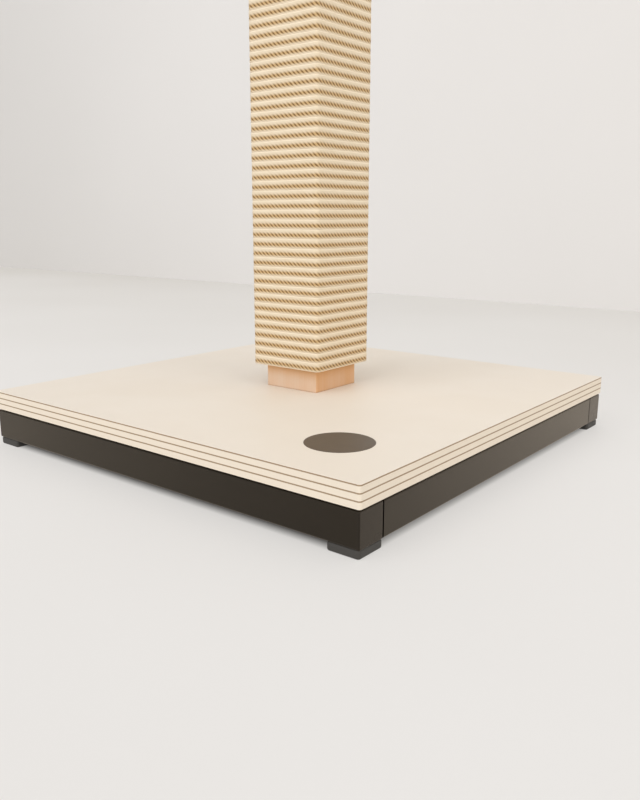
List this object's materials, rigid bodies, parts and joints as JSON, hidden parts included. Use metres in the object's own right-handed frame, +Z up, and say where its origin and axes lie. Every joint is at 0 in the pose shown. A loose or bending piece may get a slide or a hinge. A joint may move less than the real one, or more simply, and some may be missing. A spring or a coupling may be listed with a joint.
{
  "type": "cat scratching post",
  "caption": "Free-standing cat scratching post: square timber post with a lift-off rope-wound cover, on a plywood board carried by a square steel tube frame with rubber feet.",
  "frame": {"origin": "on the floor under the middle of the post, level with the underside of the feet", "axes": "+Z up along the post; -Y is the front and +X the right, the side that shows the rails' closed ends; the disc in the board is in the corner between the two"},
  "size_m": [0.4, 0.4, 0.664],
  "materials": {
    "foot_rubber": "matte, moulded",
    "cap_plastic": "fine satin grain",
    "bracket_steel": "zinc plated",
    "frame_paint": "satin powder coat",
    "screw_steel": "zinc plated",
    "tape_rubber": "matte",
    "board_ply": "sawn and sanded edge, clear lacquer",
    "top_laminate": "matte",
    "badge": "matte, bare",
    "post_timber": "planed, oiled",
    "dowel_wood": "plain, unfinished",
    "liner_card": "hard card",
    "rope": "twisted sisal"
  },
  "bodies": {
    "stand": {"badge_disc": "badge", "base_board": "board_ply", "board_screws": "screw_steel", "bracket_screws": "screw_steel", "corner_bracket_back_left": "bracket_steel", "corner_bracket_back_right": "bracket_steel", "corner_bracket_front_left": "bracket_steel", "corner_bracket_front_right": "bracket_steel", "end_cap_back_left": "cap_plastic", "end_cap_back_right": "cap_plastic", "end_cap_front_left": "cap_plastic", "end_cap_front_right": "cap_plastic", "foot_back_left": "foot_rubber", "foot_back_right": "foot_rubber", "foot_front_left": "foot_rubber", "foot_front_right": "foot_rubber", "foot_screws": "screw_steel", "frame_rail_back": "frame_paint", "frame_rail_front": "frame_paint", "frame_rail_left": "frame_paint", "frame_rail_right": "frame_paint", "locating_pin": "dowel_wood", "post": "post_timber", "post_dowels": "dowel_wood", "post_plate": "bracket_steel", "post_screws": "screw_steel", "rail_tape": "tape_rubber", "top_laminate": "top_laminate"},
    "sleeve": {"sleeve_liner": "liner_card", "rope_lower": "rope", "rope_middle": "rope", "rope_upper": "rope"}
  },
  "joints": [
    {"name": "sleeve_lift", "type": "slide", "parent": "stand", "child": "sleeve", "axis": [0, 0, 1], "range_m": [0, 0.6]}
  ]
}
